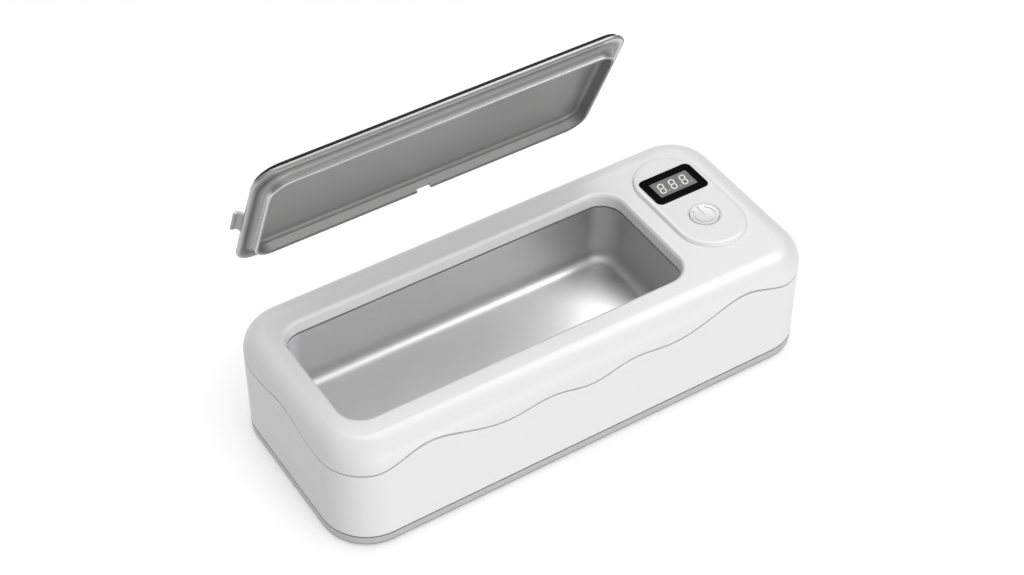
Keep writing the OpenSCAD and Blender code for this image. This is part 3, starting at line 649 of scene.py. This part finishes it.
def round_plate(shape, painted_light, size, inset, level, shaded):
    """A flat face with round corners."""
    length, width, corner = size
    corners = bmesh.ops.create_grid(shape, x_segments=1, y_segments=1, size=0.5)["verts"]
    bmesh.ops.scale(shape, vec=(length - 2 * inset, width - 2 * inset, 1), verts=corners)
    bmesh.ops.translate(shape, vec=(0, 0, level), verts=corners)
    made = bmesh.ops.bevel(shape, geom=corners, offset=corner - inset, offset_type="ABSOLUTE",
                           segments=CORNER_STEPS, profile=0.5, affect="VERTICES", material=-1)
    face = made["verts"][0].link_faces[0]
    # Each corner takes the step's painted shade or painted highlight
    for vert in face.verts:
        vert[painted_light] = shaded_here(shaded, vert.co, size)
    return face


def stack_tray(shape, painted_light):
    """All loops, each bridged to the one before. Only the first and the last keep their faces."""
    steps = tray_steps()
    last = None
    for i, step in enumerate(steps):
        face = round_plate(shape, painted_light, *step)
        loop = list(face.edges)
        if 0 < i < len(steps) - 1:
            bmesh.ops.delete(shape, geom=[face], context="FACES_ONLY")
        if last:
            bmesh.ops.bridge_loops(shape, edges=last + loop)
        last = loop


def open_edges(shape):
    return [edge for edge in shape.edges if edge.is_boundary]


tray = bmesh.new()
tray_painted_light = tray.verts.layers.float.new("painted_light")
stack_tray(tray, tray_painted_light)
print(len(tray.faces), "faces,", len(open_edges(tray)), "open edges")

# %% [markdown]
# ### Notch and finger tab
# The rear wall of the skirt has a small square notch, which lets drops run off. Three planes cut
# its outline, the wall between them goes, and the cut is closed again. The finger tab on the left
# end is a short tongue that curls over: a flat end face that is spun round the curl's middle.

# %% Cut the notch
NOTCH_HALF = 3 * MM
NOTCH_LEVEL = -1.7 * MM
NOTCH_ROOM = 1 * MM
SNAP = 1e-7
TOUCH = 1e-6
rear_side = SKIRT_OUTLINE[1] / 2 - 2 * SKIRT_WALL


def notch_faces(shape, room):
    """Faces of the rear wall whose middle lies within room metres of the notch."""
    found = []
    for face in shape.faces:
        middle = face.calc_center_median()
        if middle.y > rear_side and middle.z < NOTCH_LEVEL + room and abs(middle.x) < NOTCH_HALF + room:
            found.append(face)
    return found


def cut_outline(shape):
    planes = [((side * NOTCH_HALF, 0, 0), (1, 0, 0), LID_OUTLINE[0]) for side in (-1, 1)]
    planes.append(((0, 0, NOTCH_LEVEL), (0, 0, 1), NOTCH_ROOM))
    for place, normal, room in planes:
        faces = notch_faces(shape, room)
        geom = faces + [e for f in faces for e in f.edges] + [v for f in faces for v in f.verts]
        geom = list(dict.fromkeys(geom))
        bmesh.ops.bisect_plane(shape, geom=geom, dist=SNAP, plane_co=place, plane_no=normal)


def close_notch(shape):
    """A sill at each cheek of the notch, the two cheeks, and then the face between the sills."""
    edge_verts = [v for v in shape.verts if any(e.is_boundary for e in v.link_edges)]
    tops = [v for v in edge_verts if abs(v.co.z - NOTCH_LEVEL) < TOUCH]
    for side in (-1, 1):
        ends = [v for v in tops if abs(v.co.x - side * NOTCH_HALF) < TOUCH]
        sill = shape.edges.new(ends)
        cheek = [e for e in open_edges(shape) if all(
            abs(v.co.x - side * NOTCH_HALF) < TOUCH for v in e.verts)]
        bmesh.ops.contextual_create(shape, geom=cheek + [sill])
    bmesh.ops.contextual_create(shape, geom=open_edges(shape))


cut_outline(tray)
bmesh.ops.delete(tray, geom=notch_faces(tray, 0), context="FACES")
close_notch(tray)
print(len(tray.faces), "faces,", len(open_edges(tray)), "open edges")

# %% Spin the finger tab
TAB_FRONT = -4.7 * MM
TAB_REAR = 7.3 * MM
TAB_THICK = 0.9 * MM
TAB_CURL = 2.7 * MM
TAB_OUT = 2.1 * MM
TAB_RISE = 2.0 * MM
TAB_TURN = math.radians(-112)
TAB_STEPS = 14
# The tab's painted light, on the tray's scale from 0 to 1
TAB_PAINTED_LIGHT = 0.7
tab_middle = Vector((-LID_OUTLINE[0] / 2 - TAB_OUT, 0, LIP_HEIGHT + TAB_RISE - TAB_CURL))


def spin_tab(shape, painted_light):
    before = set(shape.verts)
    end = bmesh.ops.create_grid(shape, x_segments=1, y_segments=1, size=0.5)["verts"]
    bmesh.ops.scale(shape, vec=(TAB_THICK, TAB_REAR - TAB_FRONT, 1), verts=end)
    place = (TAB_CURL - TAB_THICK / 2, (TAB_FRONT + TAB_REAR) / 2, 0)
    bmesh.ops.translate(shape, vec=place, verts=end)
    bmesh.ops.translate(shape, vec=tab_middle, verts=end)
    bmesh.ops.spin(shape, geom=[end[0].link_faces[0]], cent=tab_middle, axis=(0, 1, 0),
                   angle=TAB_TURN, steps=TAB_STEPS)
    bmesh.ops.holes_fill(shape, edges=open_edges(shape))
    for vert in shape.verts:
        if vert not in before:
            vert[painted_light] = TAB_PAINTED_LIGHT


spin_tab(tray, tray_painted_light)
print(len(tray.faces), "faces,", len(open_edges(tray)), "open edges")

# %% [markdown]
# ### The coat with painted light
# The tray has the lid's silver coat, with painted shade where it is dull and dark and painted
# highlights where it is bright and glossy. The painted light that each step left in the mesh runs
# through a ramp of four silvers, and flakes and wide clouds break up its borders.

# %% Coat that reads the painted light
PAINTED_LIGHT_SILVERS = [
    (0.0, (0.12, 0.12, 0.12, 1)),
    (0.5, (*SILVER, 1)),
    (0.7, (0.33, 0.33, 0.328, 1)),
    (1.0, (0.78, 0.78, 0.777, 1)),
]
PAINTED_LIGHT_GLOSS = 0.32
FLAKE_BLUR = 0.06
FLAKE_SPOTS = 0.08
TONE_SPOTS = 0.06


def painted_light_coat(name, gloss):
    paint, surface, wire = new_finish(name, Metallic=SILVER_METAL)
    shaded = wire.node("ShaderNodeAttribute", {"attribute_name": "painted_light"}, {}, "Fac")
    flake = grain(wire, FLAKE_SIZE, 2)
    wide = grain(wire, TONE_SIZE, 2)
    spotted = shaded + FLAKE_SPOTS * (flake - 0.5) + TONE_SPOTS * (wide - 0.5)
    colour = wire.node("ShaderNodeValToRGB", {"stops": PAINTED_LIGHT_SILVERS}, {"Fac": spotted})
    feed(surface, "Base Color", colour)
    feed(surface, "Roughness", gloss + PAINTED_LIGHT_GLOSS * (0.5 - shaded) + FLAKE_BLUR * flake)
    rough_skin(surface, wire, flake, FLAKE_LIFT)
    return paint


tray_coat = painted_light_coat("lid_tray_silver", 0.34)
print(tray_coat.name, "runs through", len(PAINTED_LIGHT_SILVERS), "silvers")

# %% [markdown]
# ### The tray in its place
# The tray is drawn lying on the deck, centred on the tank. The lid is held up, so the mesh is swung
# about the line behind the rear wall by the same angle as the solids. It takes the place of the
# solid liner and rides on the lid.

# %% Place the tray
TANK_X = -17.5 * MM
SEAT_LEVEL = 47.6 * MM
SWING_LINE = Vector((0, 53.6, 42.9)) * MM
LID_ANGLE = math.radians(-66.5)
EDGE_ANGLE = math.radians(40)


def place_tray(shape):
    bmesh.ops.recalc_face_normals(shape, faces=shape.faces)
    seat = Matrix.Translation(Vector((TANK_X, 0, SEAT_LEVEL)) - SWING_LINE)
    swing = Matrix.Translation(SWING_LINE) @ Matrix.Rotation(LID_ANGLE, 4, "X")
    bmesh.ops.transform(shape, matrix=swing @ seat, verts=shape.verts)
    for face in shape.faces:
        face.smooth = True
    mesh = bpy.data.meshes.new("lid_tray")
    shape.to_mesh(mesh)
    shape.free()
    mesh.set_sharp_from_angle(angle=EDGE_ANGLE)
    mesh.materials.append(tray_coat)
    piece = bpy.data.objects.new("lid_tray", mesh)
    scene.collection.objects.link(piece)
    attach(piece, "lid")
    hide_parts("lid_liner")
    return piece


lid_tray = place_tray(tray)
print("tray box in mm", [round(c / MM, 1) for c in [*lid_tray.bound_box[0], *lid_tray.bound_box[6]]])
